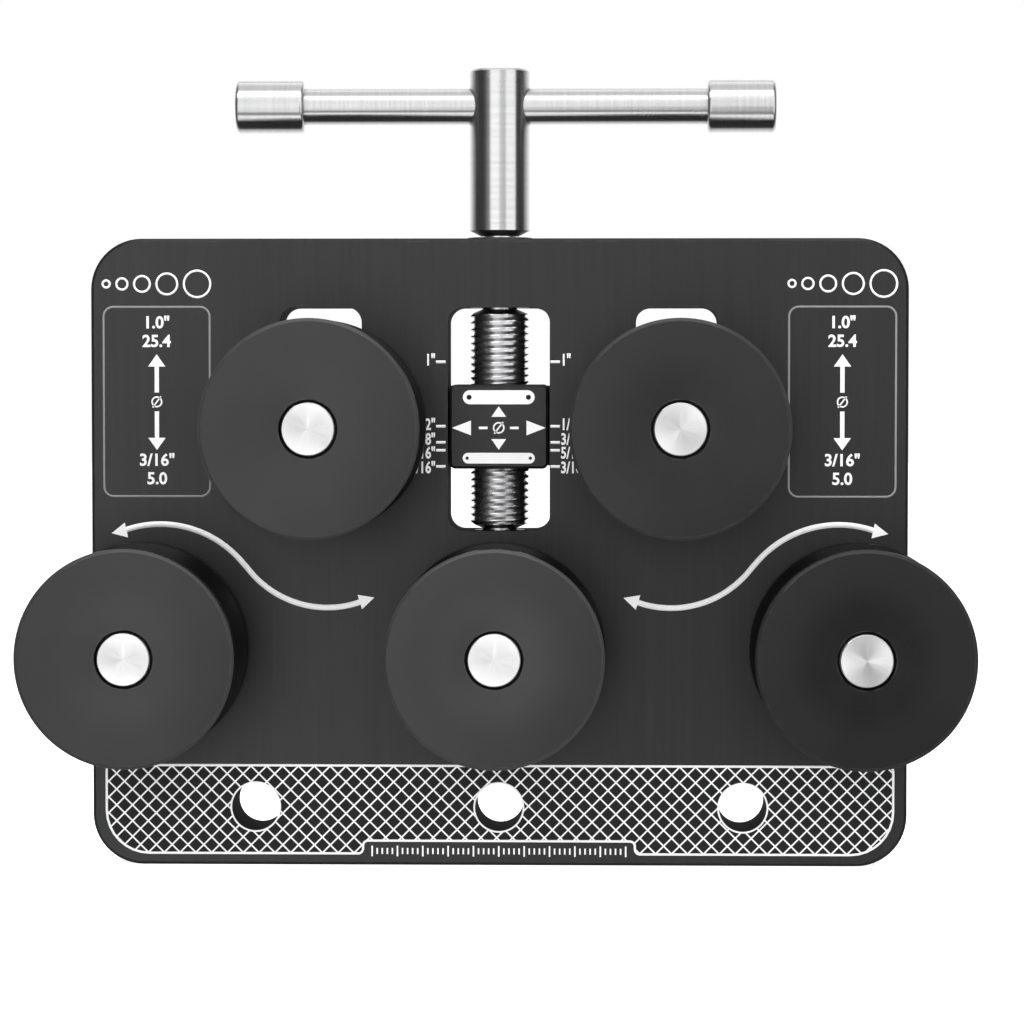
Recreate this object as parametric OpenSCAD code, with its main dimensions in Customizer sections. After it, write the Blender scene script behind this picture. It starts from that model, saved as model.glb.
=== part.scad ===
// Tube straightener. A thick plate carries three fixed grooved rollers, and a carriage
// behind the plate carries two more. A hand screw moves the carriage to suit the tube,
// which is drawn between the two rows of rollers.
// Millimetres: X runs along the tube, Y into the plate, Z up. The origin is where the
// middle mounting hole meets the plate's rear face. "Depth" is measured forwards, to -Y.

/* [Plate] */
// Width of the plate
plate_w = 160.4; // [150:0.2:220]
// Height of the plate
plate_h = 123.4; // [120:0.2:150]
// Thickness of the plate
plate_t = 15; // [14.5:0.5:20]
// Corner radius of the plate
plate_corner_r = 10; // [4:0.5:16]
// Chamfer round the plate's two faces
plate_chamfer = 0.6; // [0.2:0.1:1.2]

/* [Mounting holes] */
// Diameter of each mounting hole
mount_hole_d = 9.3; // [6:0.1:11]
// Distance from one mounting hole to the next
mount_pitch = 48; // [30:1:58]
// Height of the mounting holes above the plate's lower edge
mount_margin = 11.5; // [9:0.5:15]
// Chamfer at the mouths of the mounting holes
mount_chamfer = 0.4; // [0.2:0.1:1]

/* [Windows] */
// Width of the middle window, which holds the nut block and the screw
window_w = 20; // [19:0.2:22]
// Width of the two side windows, which hold the slides
side_window_w = 16.2; // [15:0.2:18]
// Height of all three windows
window_h = 43.9; // [43:0.1:46]
// Height of the windows' lower edge above the mounting holes
window_z = 54.5; // [53:0.5:55.5]
// Corner radius of the windows
window_corner_r = 3; // [1:0.5:5]

/* [Rollers] */
// Outer diameter of a roller
roller_d = 41.8; // [38:0.1:46]
// Width of a roller
roller_w = 28; // [27:0.5:34]
// Diameter at the bottom of a roller's groove
groove_root_d = 30.8; // [30:0.1:32]
// Radius of the groove, a little more than that of the largest tube
groove_r = 13.5; // [13:0.1:15]
// Distance between neighbouring axles in a row
roller_pitch = 70; // [66:1:72]
// Height of the lower axles above the mounting holes
lower_axle_z = 31.5; // [30.5:0.1:32.5]
// Chamfer on a roller's rims
rim_chamfer = 0.6; // [0.2:0.1:1]
// Hole for the axle in a roller's front wall
face_hole_d = 11; // [10.6:0.1:13]
// Thickness of a roller's front wall
face_wall = 3; // [2:0.5:4]
// Gap from the plate's face to a roller
roller_gap = 2; // [1.8:0.1:3]

/* [Setting] */
// Diameter of the tube that the rollers are set for
tube_d = 12.7; // [5:0.1:25]

/* [Bearings] */
// Bore of a bearing
bearing_id = 10; // [8:0.5:10.5]
// Outer diameter of a bearing
bearing_od = 22; // [21.6:0.2:23]
// Width of a bearing
bearing_w = 6; // [5.6:0.1:6.4]
// Outer diameter of an inner race
inner_race_d = 13.2; // [12.8:0.1:13.4]
// Inner diameter of an outer race
outer_race_d = 19.2; // [18.8:0.1:19.6]
// Ball diameter
ball_d = 3.5; // [3.2:0.1:3.6]
// Number of balls in a bearing
ball_count = 9; // [7:1:10]
// Thickness of a circlip
circlip_t = 1; // [0.8:0.1:1.2]
// Wall of a roller behind its circlip
circlip_wall = 1.9; // [1.5:0.1:2.5]

/* [Axles] */
// Diameter of an axle's collar
collar_d = 20; // [18.4:0.2:21]
// Diameter of the shoulder that the rear bearing stands on
shoulder_d = 13; // [12:0.2:14]
// How far an axle stands out of its roller
axle_proud = 0.4; // [0.1:0.1:1.5]
// Length of an axle's spigot in the plate
plate_spigot = 5; // [4:0.5:6]
// Length of an axle's spigot in a slide
slide_spigot = 8; // [6:0.5:9]
// Diameter of the axle screws
axle_screw_d = 6; // [5:0.5:6]
// How far an axle screw goes into its axle
axle_screw_grip = 8.5; // [6:0.5:10]

/* [Carriage] */
// Height of the nut block
nut_block_h = 16.5; // [14:0.1:18]
// Height of a slide
slide_h = 21; // [20.5:0.5:22]
// Height of the bar behind the plate, whose ends are round
carriage_bar_h = 16; // [15:0.5:18]
// Thickness of the bar behind the plate
carriage_bar_t = 10; // [9:0.5:14]
// Gap on each side of whatever slides in or on the plate
guide_gap = 0.3; // [0.2:0.05:0.4]
// Diameter of the two screws in the nut block
nut_screw_d = 4; // [3:0.5:4]
// How far those two screws go into the nut block
nut_screw_grip = 3.4; // [2.5:0.1:3.4]

/* [Screw] */
// Outer diameter of the thread
thread_d = 11.6; // [10:0.1:12.4]
// Pitch of the thread
thread_pitch = 1.35; // [1:0.05:2]
// Diameter of the plain necks at both ends of the thread
neck_d = 7; // [6:0.1:8]
// Length of the cone from the thread to a neck
thread_cone = 1; // [0.8:0.1:2]
// Depth of the lower journal in the plate
journal_depth = 8; // [6:0.5:9]
// Outer diameter of the lower bush
lower_bush_d = 10; // [9.6:0.1:11]
// Radial clearance of a turning journal
running_gap = 0.05; // [0.02:0.01:0.08]
// End play at each shoulder of the screw
end_play = 0.3; // [0.2:0.05:0.5]

/* [Handle] */
// Diameter of the hub
hub_d = 12; // [10:0.1:13]
// Height of the hub
hub_h = 32.8; // [31:0.2:40]
// Diameter of the screw's end inside the hub
hub_spigot_d = 5; // [4.5:0.1:6]
// Length of the screw's end inside the hub
hub_spigot = 16; // [12:0.5:18]
// Diameter of the cross bar
cross_bar_d = 7.2; // [5:0.1:8]
// Length of the handle over its caps
handle_w = 106.4; // [80:0.1:130]
// Height of the cross bar above the hub's lower end
cross_bar_rise = 25.6; // [23:0.1:26.5]
// Sideways place of the cross bar, which slides in the hub
cross_bar_shift = 1.2; // [-20:0.1:20]
// Diameter of a cap
cap_d = 10.5; // [8:0.1:12]
// Length of a cap
cap_w = 13.5; // [8:0.1:20]
// Solid end of a cap
cap_end = 2; // [1:0.1:4]
// Edge radius of a cap
cap_edge_r = 0.8; // [0.3:0.1:1.5]
// Radial clearance of the cross bar in the hub
cross_bar_gap = 0.1; // [0.05:0.01:0.3]

/* [Hidden] */
$fn = 96;
cut = 1;     // how far a cut runs past the face where it starts
skin = 0.01; // the same for a chamfer, which would flare
black = [0.2, 0.2, 0.21];
roller_black = [0.25, 0.25, 0.26];
steel = [0.78, 0.78, 0.79];
dark_steel = [0.35, 0.35, 0.36];

plate_base = -mount_margin;
plate_top = plate_base + plate_h;
window_top = window_z + window_h;
carriage_z = lower_axle_z + groove_root_d + tube_d;
axle_stations = [
    ["upper_left", -roller_pitch / 2, carriage_z],
    ["upper_right", roller_pitch / 2, carriage_z],
    ["lower_left", -roller_pitch, lower_axle_z],
    ["lower_middle", 0, lower_axle_z],
    ["lower_right", roller_pitch, lower_axle_z],
];
upper_stations = [axle_stations[0], axle_stations[1]];
lower_stations = [axle_stations[2], axle_stations[3], axle_stations[4]];

// depths in front of the plate's rear face
collar_gap = 0.4; // between a collar and its roller
slide_front = plate_t + guide_gap;
roller_rear = plate_t + roller_gap;
collar_front = roller_rear - collar_gap;
roller_front = roller_rear + roller_w;
roller_mid = roller_rear + roller_w / 2;
clip_rear = roller_rear + circlip_wall;
rear_bearing = clip_rear + circlip_t;
front_bearing = roller_front - face_wall - bearing_w;
axle_front = roller_front + axle_proud;
bearing_depths = [rear_bearing, front_bearing];
bar_rear = -guide_gap - carriage_bar_t;

// bearings and circlips
ball_ring_r = (inner_race_d + outer_race_d) / 4;
shield_t = 0.35;
shield_inset = 0.15;
shield_gap = 0.3;
clip_groove = 0.5;
clip_width = 1.6;
clip_eye_r = 1.2;
clip_opening = 14; // degrees, from the middle of the opening to each end
relief_depth = 0.6; // behind the roller's front wall, clear of the inner race
relief_land = 0.6;
face_hole_chamfer = 0.15;
axle_chamfer = 0.4;
axle_edge = 0.15; // on the end that shows

// socket head cap screws: head and socket follow the shank
function head_d(d) = 1.6 * d + 0.6;
function socket_af(d) = 0.83 * d;
socket_depth = 0.5; // share of the head
head_gap = 0.4;
head_sink = 0.4;

// carriage
block_corner_r = 1.2;
block_chamfer = 0.5;
slide_chamfer = 0.3;
bar_chamfer = 0.6;
nut_screw_x = thread_d / 2 + 0.7;
slide_w = side_window_w - 2 * guide_gap;

// screw and handle, on an upright axis in the middle of the plate's thickness
screw_y = -plate_t / 2;
neck_r = neck_d / 2;
bush_d = thread_d + 0.4; // the thread passes through its hole
flange_d = bush_d + 0.8;
flange_recess = 1;
flange_proud = 0.3;
bottom_bush_z = window_z - journal_depth - 1;
thread_depth = 0.54 * thread_pitch;
thread_crest = 0.16 * thread_pitch;
thread_root_r = thread_d / 2 - thread_depth;
thread_high = window_top - end_play - thread_cone;
thread_room = thread_high - thread_cone - end_play - window_z;
thread_turns = floor(thread_room / thread_pitch);
thread_low = thread_high - thread_turns * thread_pitch;
hub_z = plate_top + flange_proud + end_play;
hub_cone = 1.1;
hub_edge = 0.4;
hub_foot_r = neck_r + 0.2;
cross_bar_z = hub_z + cross_bar_rise;
set_screw_d = 3;
set_screw_rise = 8;
set_screw_sink = 0.1;

// whatever lies on one axle, in the frame of the station (name, x, z)
module at_station(s) translate([s[1], 0, s[2]]) rotate([90, 0, 0]) children();

// ring about the local axis, which points forwards after at_station
module ring(r_in, r_out, depth, length) {
    translate([0, 0, depth]) difference() {
        cylinder(r = r_out, h = length);
        translate([0, 0, -cut]) cylinder(r = r_in, h = length + 2 * cut);
    }
}

// flat outline with round corners, centred on x and standing on y = 0
module rounded_outline(w, h, r) {
    translate([-w / 2 + r, 0]) square([w - 2 * r, h]);
    translate([-w / 2, r]) square([w, h - 2 * r]);
    for (x = [-w / 2 + r, w / 2 - r], y = [r, h - r]) translate([x, y]) circle(r);
}

// upright slab from depth d0 to d1, standing on z = 0, chamfered where it is asked
module slab(w, h, r, d0, d1, chamfer0, chamfer1) {
    outline = [
        [0, d0], [r - chamfer0, d0], [r, d0 + chamfer0],
        [r, d1 - chamfer1], [r - chamfer1, d1], [0, d1],
    ];
    rows = h > 2 * r ? [r, h - r] : [r];
    columns = [-w / 2 + r, w / 2 - r];
    rotate([90, 0, 0]) union() {
        for (x = columns, y = rows) translate([x, y, 0]) rotate_extrude() polygon(outline);
        for (y = rows, side = [-1, 1])
            translate([columns[0], y, 0]) rotate([90, 0, 90]) linear_extrude(w - 2 * r)
                polygon([for (p = outline) [side * p[0], p[1]]]);
        if (h > 2 * r) {
            for (x = columns, side = [-1, 1])
                translate([x, h - r, 0]) rotate([90, 0, 0]) linear_extrude(h - 2 * r)
                    polygon([for (p = outline) [side * p[0], p[1]]]);
            translate([columns[0], r, d0]) cube([w - 2 * r, h - 2 * r, d1 - d0]);
        }
    }
}

// socket head cap screw: its head's underside is at depth 0 and its shank points forwards
module cap_screw(d, length) {
    difference() {
        union() {
            translate([0, 0, -d]) cylinder(d = head_d(d), h = d);
            cylinder(d = d, h = length);
        }
        translate([0, 0, -d - cut])
            cylinder(d = socket_af(d) / cos(30), h = socket_depth * d + cut, $fn = 6);
    }
}

// room for a cap screw from behind: the head's seat is at depth 0
module cap_screw_room(d, through) {
    head_room = d + head_sink + cut;
    translate([0, 0, -head_room]) cylinder(d = head_d(d) + 2 * head_gap, h = head_room);
    translate([0, 0, -cut]) cylinder(d = d + head_gap, h = through + cut);
}

module base_plate() {
    color(black) difference() {
        translate([0, 0, plate_base])
            slab(plate_w, plate_h, plate_corner_r, 0, plate_t, plate_chamfer, plate_chamfer);
        window_cut(0, window_w);
        for (s = upper_stations) window_cut(s[1], side_window_w);
        for (i = [-1, 0, 1]) translate([i * mount_pitch, 0, 0]) mount_hole_cut();
        for (s = lower_stations) at_station(s) {
            translate([0, 0, plate_t - plate_spigot]) cylinder(d = bearing_id, h = plate_spigot + cut);
            translate([0, 0, head_sink + axle_screw_d]) cap_screw_room(axle_screw_d, plate_t);
        }
        translate([0, screw_y, window_top - cut])
            cylinder(d = bush_d, h = plate_top - window_top + 2 * cut);
        translate([0, screw_y, plate_top - flange_recess])
            cylinder(d = flange_d, h = flange_recess + cut);
        translate([0, screw_y, bottom_bush_z])
            cylinder(d = lower_bush_d, h = window_z - bottom_bush_z + cut);
    }
}

module window_cut(x, w) {
    translate([x, cut, window_z]) rotate([90, 0, 0]) linear_extrude(plate_t + 2 * cut)
        rounded_outline(w, window_h, window_corner_r);
}

module mount_hole_cut() {
    r = mount_hole_d / 2;
    rotate([90, 0, 0]) {
        translate([0, 0, -cut]) cylinder(r = r, h = plate_t + 2 * cut);
        translate([0, 0, -skin])
            cylinder(r1 = r + mount_chamfer + skin, r2 = r, h = mount_chamfer + skin);
        translate([0, 0, plate_t - mount_chamfer])
            cylinder(r1 = r, r2 = r + mount_chamfer + skin, h = mount_chamfer + skin);
    }
}

// flanged bush that carries the screw's upper neck
module top_bush() {
    color(dark_steel) translate([0, screw_y, 0]) difference() {
        union() {
            translate([0, 0, window_top]) cylinder(d = bush_d, h = plate_top - window_top);
            translate([0, 0, plate_top - flange_recess])
                cylinder(d = flange_d, h = flange_recess + flange_proud);
        }
        translate([0, 0, window_top - cut])
            cylinder(r = neck_r + running_gap, h = plate_top + flange_proud - window_top + 2 * cut);
    }
}

module bottom_bush() {
    color(dark_steel) translate([0, screw_y, bottom_bush_z]) difference() {
        cylinder(d = lower_bush_d, h = window_z - bottom_bush_z);
        translate([0, 0, -cut])
            cylinder(r = neck_r + running_gap, h = window_z - bottom_bush_z + 2 * cut);
    }
}

// axle turned from one bar: spigot, collar, shoulder and the plain end that shows
module axle(s, collar_rear, spigot) {
    r = bearing_id / 2;
    color(steel) at_station(s) difference() {
        rotate_extrude() polygon([
            [0, collar_rear - spigot], [r - axle_chamfer, collar_rear - spigot],
            [r, collar_rear - spigot + axle_chamfer], [r, collar_rear],
            [collar_d / 2, collar_rear], [collar_d / 2, collar_front],
            [shoulder_d / 2, collar_front], [shoulder_d / 2, rear_bearing],
            [r, rear_bearing], [r, axle_front - axle_edge],
            [r - axle_edge, axle_front], [0, axle_front],
        ]);
        // the tapped hole ends a little past the screw's point
        translate([0, 0, collar_rear - spigot - cut])
            cylinder(d = axle_screw_d, h = axle_screw_grip + 2 + cut);
    }
}

module lower_axle_screws() {
    seat = head_sink + axle_screw_d;
    length = plate_t - plate_spigot - seat + axle_screw_grip;
    color(dark_steel) for (s = lower_stations) at_station(s)
        translate([0, 0, seat]) cap_screw(axle_screw_d, length);
}

module upper_axle_screws() {
    seat = bar_rear + head_sink + axle_screw_d;
    length = slide_front - slide_spigot - seat + axle_screw_grip;
    color(dark_steel) for (s = upper_stations) at_station(s)
        translate([0, 0, seat]) cap_screw(axle_screw_d, length);
}

// inner races with their ball tracks, two on each axle
module inner_races(stations) {
    color(steel) for (s = stations, d = bearing_depths) at_station(s) difference() {
        ring(bearing_id / 2, inner_race_d / 2, d, bearing_w);
        translate([0, 0, d + bearing_w / 2]) ball_track(ball_d / 2 + shield_gap);
    }
}

module race_spacers(stations) {
    color(steel) for (s = stations) at_station(s)
        ring(bearing_id / 2, inner_race_d / 2, rear_bearing + bearing_w,
             front_bearing - rear_bearing - bearing_w);
}

module ball_track(r) rotate_extrude() translate([ball_ring_r, 0]) circle(r);

module outer_races(s) {
    color(steel) for (d = bearing_depths) at_station(s) difference() {
        ring(outer_race_d / 2, bearing_od / 2, d, bearing_w);
        translate([0, 0, d + bearing_w / 2]) ball_track(ball_d / 2 + running_gap);
    }
}

module bearing_balls(s) {
    color(steel) for (d = bearing_depths, i = [0 : ball_count - 1]) at_station(s)
        rotate([0, 0, 360 * i / ball_count]) translate([ball_ring_r, 0, d + bearing_w / 2])
            sphere(d = ball_d, $fn = 24);
}

module bearing_shields(s) {
    color(steel) for (d = bearing_depths, side = [0, 1]) at_station(s)
        ring(inner_race_d / 2 + shield_gap, outer_race_d / 2,
             d + shield_inset + side * (bearing_w - shield_t - 2 * shield_inset), shield_t);
}

// open ring with two eyes, in a groove behind the rear bearing
module circlip(s) {
    r_out = bearing_od / 2 + clip_groove;
    r_in = bearing_od / 2 - clip_width;
    eye_ring = r_in - clip_eye_r / 4;
    eye_angle = clip_opening + 5;
    color(dark_steel) at_station(s) translate([0, 0, clip_rear]) linear_extrude(circlip_t) difference() {
        union() {
            difference() {
                circle(r_out);
                circle(r_in);
                polygon([[0, 0], for (a = [-clip_opening, clip_opening]) 2 * r_out * [sin(a), -cos(a)]]);
            }
            for (a = [-eye_angle, eye_angle]) rotate(a) translate([0, -eye_ring]) circle(clip_eye_r);
        }
        for (a = [-eye_angle, eye_angle]) rotate(a) translate([0, -eye_ring]) circle(clip_eye_r / 2);
    }
}

// roller: a turned wheel with a round groove, bored from behind for its bearings
module roller(s) {
    r = roller_d / 2;
    wall_rear = roller_front - face_wall;
    color(roller_black) at_station(s) difference() {
        rotate_extrude() difference() {
            polygon([
                [0, roller_rear], [r - rim_chamfer, roller_rear], [r, roller_rear + rim_chamfer],
                [r, roller_front - rim_chamfer], [r - rim_chamfer, roller_front], [0, roller_front],
            ]);
            translate([groove_root_d / 2 + groove_r, roller_mid]) circle(groove_r);
        }
        translate([0, 0, roller_rear - cut]) cylinder(d = bearing_od, h = wall_rear - roller_rear + cut);
        translate([0, 0, wall_rear - cut])
            cylinder(r = outer_race_d / 2 - relief_land, h = relief_depth + cut);
        translate([0, 0, wall_rear - cut]) cylinder(d = face_hole_d, h = face_wall + 2 * cut);
        translate([0, 0, roller_front - face_hole_chamfer])
            cylinder(r1 = face_hole_d / 2, r2 = face_hole_d / 2 + face_hole_chamfer + skin,
                     h = face_hole_chamfer + skin);
        translate([0, 0, clip_rear]) cylinder(r = bearing_od / 2 + clip_groove, h = circlip_t);
    }
}

// block in the middle window: the screw's thread runs in it, and the scale is read at its edges
module nut_block() {
    color(black) difference() {
        translate([0, 0, carriage_z - nut_block_h / 2])
            slab(window_w - 2 * guide_gap, nut_block_h, block_corner_r, -guide_gap, plate_t,
                 slide_chamfer, block_chamfer);
        translate([0, screw_y, carriage_z - nut_block_h])
            cylinder(d = thread_d + 2 * running_gap, h = 2 * nut_block_h);
        for (side = [-1, 1]) at_station(["", side * nut_screw_x, carriage_z])
            translate([0, 0, -guide_gap - cut]) cylinder(d = nut_screw_d, h = nut_screw_grip + cut);
    }
}

// bar that joins the nut block to both slides, behind the plate
module carriage_bar() {
    r = carriage_bar_h / 2;
    color(black) difference() {
        translate([0, 0, carriage_z - r])
            slab(roller_pitch + 2 * r, 2 * r, r, bar_rear, -guide_gap, bar_chamfer, slide_chamfer);
        for (s = upper_stations) at_station(s)
            translate([0, 0, bar_rear + head_sink + axle_screw_d])
                cap_screw_room(axle_screw_d, carriage_bar_t);
        for (side = [-1, 1]) at_station(["", side * nut_screw_x, carriage_z])
            translate([0, 0, bar_rear + head_sink + nut_screw_d])
                cap_screw_room(nut_screw_d, carriage_bar_t);
    }
}

module nut_block_screws() {
    seat = bar_rear + head_sink + nut_screw_d;
    color(dark_steel) for (side = [-1, 1]) at_station(["", side * nut_screw_x, carriage_z])
        translate([0, 0, seat]) cap_screw(nut_screw_d, -guide_gap - seat + nut_screw_grip);
}

// block that fills a side window's width and takes an upper axle's spigot
module slide(s) {
    color(black) difference() {
        translate([s[1], 0, s[2] - slide_h / 2])
            slab(slide_w, slide_h, window_corner_r - guide_gap, -guide_gap, slide_front,
                 slide_chamfer, slide_chamfer);
        at_station(s) {
            translate([0, 0, slide_front - slide_spigot]) cylinder(d = bearing_id, h = slide_spigot + cut);
            translate([0, 0, -guide_gap - cut])
                cylinder(d = axle_screw_d + head_gap, h = slide_front - slide_spigot + 2 * cut);
        }
    }
}

// lead screw: journal, thread, neck and the end that the hub is fixed on
module lead_screw() {
    crest_r = thread_d / 2;
    foot = window_z - journal_depth;
    color(steel) translate([0, screw_y, 0]) rotate_extrude() polygon(concat(
        [
            [0, foot], [neck_r - axle_chamfer, foot], [neck_r, foot + axle_chamfer],
            [neck_r, thread_low - thread_cone], [crest_r, thread_low],
        ],
        [for (i = [0 : thread_turns - 1]) each [
            [crest_r, thread_low + thread_crest / 2 + i * thread_pitch],
            [thread_root_r, thread_low + (i + 0.5) * thread_pitch],
            [crest_r, thread_low - thread_crest / 2 + (i + 1) * thread_pitch],
        ]],
        [
            [crest_r, thread_high], [neck_r, thread_high + thread_cone], [neck_r, hub_z],
            [hub_spigot_d / 2, hub_z], [hub_spigot_d / 2, hub_z + hub_spigot],
            [0, hub_z + hub_spigot],
        ]
    ));
}

// hub of the handle, bored across for the bar and tapped behind for its set screw
module handle_hub() {
    r = hub_d / 2;
    color(steel) difference() {
        translate([0, screw_y, hub_z]) difference() {
            rotate_extrude() polygon([
                [0, 0], [hub_foot_r, 0], [r, hub_cone], [r, hub_h - hub_edge],
                [r - hub_edge, hub_h], [0, hub_h],
            ]);
            // the blind bore ends a little past the screw's end
            translate([0, 0, -cut]) cylinder(d = hub_spigot_d, h = hub_spigot + 0.5 + cut);
            translate([0, 0, set_screw_rise]) rotate([-90, 0, 0]) cylinder(d = set_screw_d, h = hub_d);
        }
        translate([-hub_d, screw_y, cross_bar_z]) rotate([0, 90, 0])
            cylinder(d = cross_bar_d + 2 * cross_bar_gap, h = 2 * hub_d);
    }
}

module hub_set_screw() {
    length = hub_d / 2 - hub_spigot_d / 2;
    color(dark_steel) translate([0, screw_y + hub_spigot_d / 2, hub_z + set_screw_rise])
        rotate([-90, 0, 0]) difference() {
            cylinder(d = set_screw_d, h = length - set_screw_sink);
            translate([0, 0, length * socket_depth])
                cylinder(d = set_screw_d / 2 / cos(30), h = length, $fn = 6);
        }
}

module cross_bar() {
    length = handle_w - 2 * cap_end;
    color(steel) translate([cross_bar_shift - length / 2, screw_y, cross_bar_z])
        rotate([0, 90, 0]) cylinder(d = cross_bar_d, h = length);
}

// cap on one end of the cross bar: side is -1 on the left and 1 on the right
module bar_cap(side) {
    r = cap_d / 2;
    e = cap_edge_r;
    color(steel) translate([cross_bar_shift + side * handle_w / 2, screw_y, cross_bar_z])
        rotate([0, -side * 90, 0]) difference() {
            rotate_extrude() union() {
                square([r - e, cap_w]);
                translate([0, e]) square([r, cap_w - 2 * e]);
                for (z = [e, cap_w - e]) translate([r - e, z]) circle(e);
            }
            translate([0, 0, cap_end]) cylinder(d = cross_bar_d, h = cap_w);
        }
}

roller_parts = ["roller", "outer_races", "bearing_balls", "bearing_shields", "circlip"];

base_plate();
top_bush();
bottom_bush();
lower_axle_screws();
inner_races(lower_stations);  // lower_inner_races
race_spacers(lower_stations);  // lower_race_spacers
carriage_bar();
nut_block();
nut_block_screws();
slide(upper_stations[0]);  // left_slide
slide(upper_stations[1]);  // right_slide
upper_axle_screws();
inner_races(upper_stations);  // upper_inner_races
race_spacers(upper_stations);  // upper_race_spacers
lead_screw();
handle_hub();
hub_set_screw();
cross_bar();
bar_cap(-1);  // left_bar_cap
bar_cap(1);  // right_bar_cap
for (s = lower_stations)
    axle(s, plate_t, plate_spigot);
for (s = upper_stations)
    axle(s, slide_front, slide_spigot);
for (s = axle_stations) {
    roller(s);
    outer_races(s);
    bearing_balls(s);
    bearing_shields(s);
    circlip(s);
}
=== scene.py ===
import math

import bmesh
import bpy
from mathutils import Matrix, Vector


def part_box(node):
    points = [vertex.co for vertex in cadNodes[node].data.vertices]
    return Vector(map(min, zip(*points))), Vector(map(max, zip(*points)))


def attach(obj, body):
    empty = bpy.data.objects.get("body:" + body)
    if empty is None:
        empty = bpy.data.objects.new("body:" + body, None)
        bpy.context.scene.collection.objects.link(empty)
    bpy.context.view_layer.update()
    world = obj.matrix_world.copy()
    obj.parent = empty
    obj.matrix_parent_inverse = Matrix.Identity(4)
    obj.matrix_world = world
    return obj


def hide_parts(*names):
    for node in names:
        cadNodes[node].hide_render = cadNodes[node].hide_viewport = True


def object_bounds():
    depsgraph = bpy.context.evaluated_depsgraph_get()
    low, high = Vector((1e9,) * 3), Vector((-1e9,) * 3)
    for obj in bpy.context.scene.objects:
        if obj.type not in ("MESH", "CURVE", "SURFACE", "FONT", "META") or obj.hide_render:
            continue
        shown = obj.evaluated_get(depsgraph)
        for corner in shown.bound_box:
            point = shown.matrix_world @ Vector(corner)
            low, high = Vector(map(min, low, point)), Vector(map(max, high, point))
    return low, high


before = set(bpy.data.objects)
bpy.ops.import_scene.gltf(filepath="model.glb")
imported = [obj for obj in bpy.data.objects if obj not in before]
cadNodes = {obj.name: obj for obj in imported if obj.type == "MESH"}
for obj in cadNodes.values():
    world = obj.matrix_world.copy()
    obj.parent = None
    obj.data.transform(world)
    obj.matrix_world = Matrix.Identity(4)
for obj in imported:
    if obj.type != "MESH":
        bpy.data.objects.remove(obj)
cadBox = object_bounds()
scene = bpy.context.scene
scene.view_settings.view_transform = "Standard"
mm = 0.001

# Node helpers. A value is a plain one or another node's socket.


def link(tree, sockets, values):
    for label, value in values.items():
        if isinstance(value, bpy.types.NodeSocket):
            tree.links.new(value, sockets[label])
        else:
            sockets[label].default_value = value


def addNode(tree, kind, values, **choices):
    node = tree.nodes.new(kind)
    for choice, value in choices.items():
        setattr(node, choice, value)
    link(tree, node.inputs, values)
    return node.outputs


def read(tree, kind, output):
    return tree.nodes.new(kind).outputs[output]


def maths(tree, operation, *values):
    return addNode(tree, "ShaderNodeMath", dict(enumerate(values)), operation=operation)[0]


def vectorMaths(tree, operation, *values):
    outputs = addNode(tree, "ShaderNodeVectorMath", dict(enumerate(values)), operation=operation)
    return outputs["Value" if operation in ("DOT_PRODUCT", "LENGTH") else "Vector"]


def mapRange(tree, value, low, high, newLow=0.0, newHigh=1.0):
    values = (value, low, high, newLow, newHigh)
    return addNode(tree, "ShaderNodeMapRange", dict(enumerate(values)))["Result"]


def noise(tree, vector, scale, detail, roughness, dimensions="3D"):
    place = "W" if dimensions == "1D" else "Vector"
    values = {place: vector, "Scale": scale, "Detail": detail, "Roughness": roughness}
    return addNode(tree, "ShaderNodeTexNoise", values, noise_dimensions=dimensions)["Fac"]


def mixColours(tree, factor, first, second):   # a Mix node has its colours at 6 and 7, the result at 2
    return addNode(tree, "ShaderNodeMix", {0: factor, 6: first, 7: second}, data_type="RGBA")[2]


def parted(tree, vector):
    return addNode(tree, "ShaderNodeSeparateXYZ", {"Vector": vector})


def joined(tree, x, y, z):
    return addNode(tree, "ShaderNodeCombineXYZ", {"X": x, "Y": y, "Z": z})["Vector"]


# Camera, backdrop and lights

cameraView = {
    "place": (20.44, -698.4, 85.9),   # mm
    "tilt": 87.685,
    "turn": 1.495,
    "lens": 122.5,
    "sensor": 36.0,
}

aim = Vector((0, -20, 70)) * mm   # the softboxes stand round this point and face it
softboxes = {   # azimuth 0 is in front of the object, and positive to its right; glow is radiance
    "leftSoftbox": {"azimuth": -17, "rise": 24, "reach": 720, "size": (496, 1540), "glow": 1.62},
    "middleSoftbox": {"azimuth": 13, "rise": 34, "reach": 720, "size": (280, 1008), "glow": 1.1},
    "rightSoftbox": {"azimuth": 44.5, "rise": 20, "reach": 720, "size": (538, 1400), "glow": 1.86},
    "topSoftbox": {"azimuth": 0, "rise": 88, "reach": 640, "size": (600, 900), "glow": 1.2},
    "keyLamp": {"azimuth": -48, "rise": 46, "reach": 900, "size": (260, 260), "glow": 8.0},
    "lowFill": {"azimuth": 0, "rise": -48, "reach": 420, "size": (700, 200), "glow": 1.7},
}

surroundings = {   # radiance; each glow starts and is full at that cosine from its own direction
    "camera": 1.0, "sides": 0.08,
    "glows": [
        {"azimuth": -18, "rise": -18, "radiance": 0.42, "start": 0.75, "full": 0.92},
        {"azimuth": 180, "rise": 0, "radiance": 1.35, "start": 0.18, "full": 0.78},
    ],
}

floorSheet = {"width": 6.0, "colour": (0.9, 0.9, 0.9), "roughness": 0.9, "glow": 0.82}


def addCamera(view):
    data = bpy.data.cameras.new("camera")
    data.lens = view["lens"]
    data.sensor_width = view["sensor"]
    camera = bpy.data.objects.new("camera", data)
    camera.location = Vector(view["place"]) * mm
    camera.rotation_euler = (math.radians(view["tilt"]), 0, math.radians(view["turn"]))
    scene.collection.objects.link(camera)
    scene.camera = camera


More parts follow.
